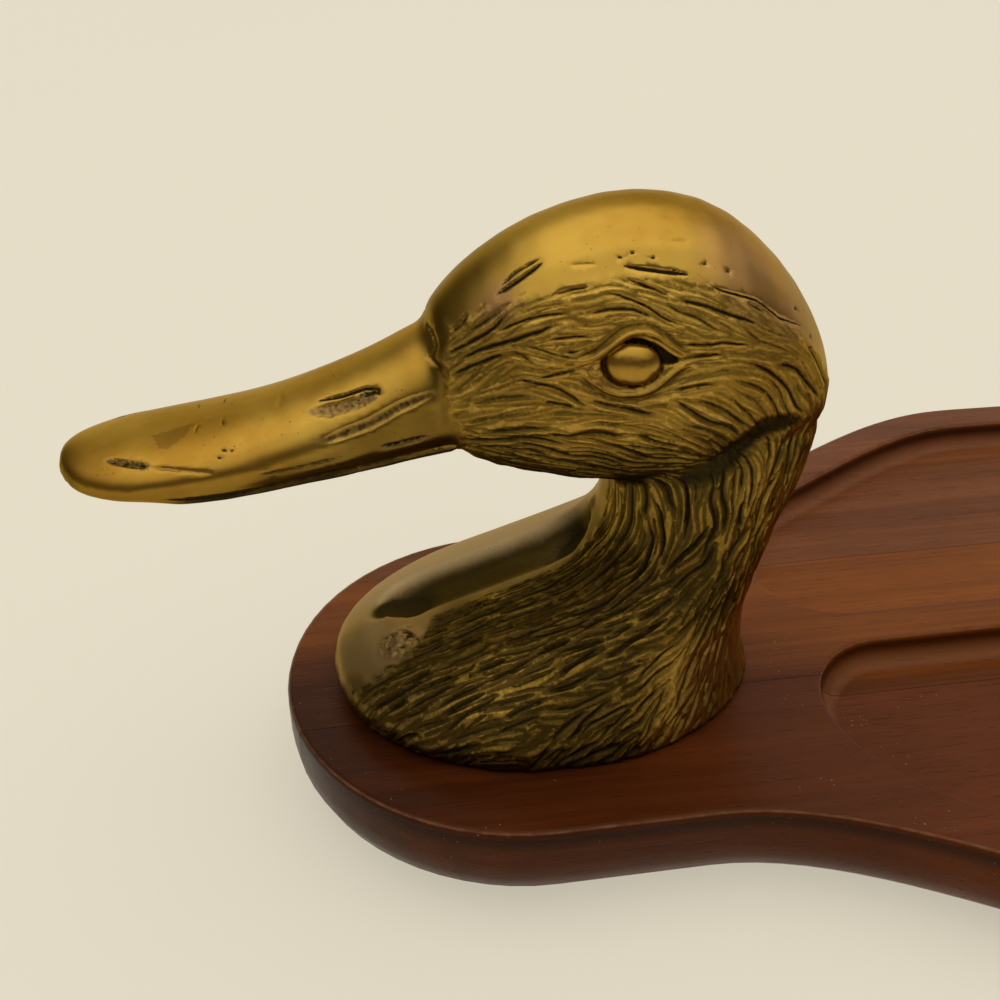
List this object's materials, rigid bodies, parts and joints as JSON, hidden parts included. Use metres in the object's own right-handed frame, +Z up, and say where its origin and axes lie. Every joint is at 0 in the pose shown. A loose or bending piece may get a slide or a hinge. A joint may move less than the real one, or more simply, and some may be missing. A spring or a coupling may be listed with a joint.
{
  "type": "duck head valet tray",
  "caption": "Wooden valet tray with two shallow wells side by side and a cast brass duck head standing on its rounded front end.",
  "frame": {"origin": "on the table, under the middle of the whole length", "axes": "+Z up, bill towards -X, tail of the tray towards +X"},
  "size_m": [0.2876, 0.1524, 0.0952],
  "materials": {
    "near_stave_wood": "dark reddish brown, glossy lacquer",
    "middle_stave_wood": "orange brown, glossy lacquer",
    "far_stave_wood": "dark reddish brown, glossy lacquer",
    "felt": "dark pressed felt",
    "aged_brass": "cast, hand chased, tarnished in the grooves and rubbed bright on the high places",
    "fixing_steel": "zinc plated"
  },
  "bodies": {
    "root": {"near_stave": "near_stave_wood", "middle_stave": "middle_stave_wood", "far_stave": "far_stave_wood", "felt_pad": "felt", "duck_head_casting": "aged_brass", "front_fixing_screw": "fixing_steel", "front_washer": "fixing_steel", "rear_fixing_screw": "fixing_steel", "rear_washer": "fixing_steel"}
  },
  "joints": []
}
